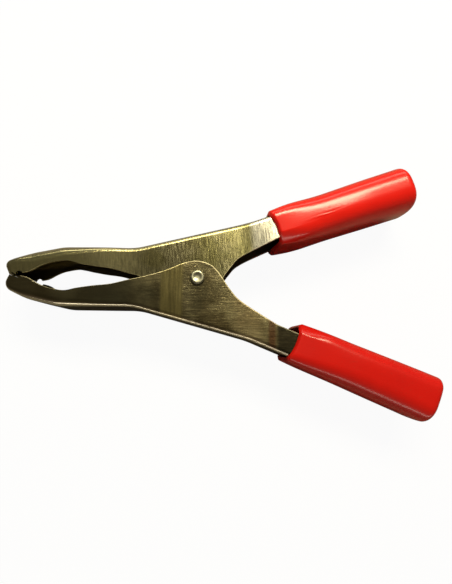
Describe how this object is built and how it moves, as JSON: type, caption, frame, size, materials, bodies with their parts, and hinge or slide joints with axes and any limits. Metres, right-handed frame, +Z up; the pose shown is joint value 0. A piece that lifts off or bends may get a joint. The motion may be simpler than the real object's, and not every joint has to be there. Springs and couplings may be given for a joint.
{
  "type": "alligator clip lead",
  "caption": "Heavy spring clip with pressed steel channel jaws on a rivet, vinyl handle sleeves and a screw terminal inside one handle for its cable.",
  "frame": {"origin": "on the surface the clip lies on, under the middle of the whole clip", "axes": "+X from the jaws to the handles, +Y towards the upper arm, +Z up along the rivet"},
  "size_m": [0.1581, 0.0963, 0.0278],
  "materials": {
    "arm_steel": "brushed sheet steel with an olive-straw plated tint",
    "rivet_steel": "bright plated, rolled",
    "spring_steel": "oil-blackened drawn wire",
    "brass": "plain brass, slightly dulled",
    "red_vinyl": "glossy soft vinyl"
  },
  "bodies": {
    "lower_arm": {"lower_jaw_arm": "arm_steel", "pivot_rivet": "rivet_steel", "pivot_bush": "brass", "torsion_spring": "spring_steel", "lower_grip": "red_vinyl", "cable_clamp_plate": "brass", "cable_lock_washer": "spring_steel", "cable_screw": "brass"},
    "upper_arm": {"upper_jaw_arm": "arm_steel", "upper_grip": "red_vinyl"}
  },
  "joints": [
    {"name": "jaw_pivot", "type": "hinge", "parent": "lower_arm", "child": "upper_arm", "pos_m": [-0.0097, 0.0024, 0.0139], "axis": [0, 0, -1], "range_deg": [0, 38], "stiffness_Nm_per_rad": 1.4, "springref_deg": -57.3, "deforming": ["torsion_spring"]}
  ]
}
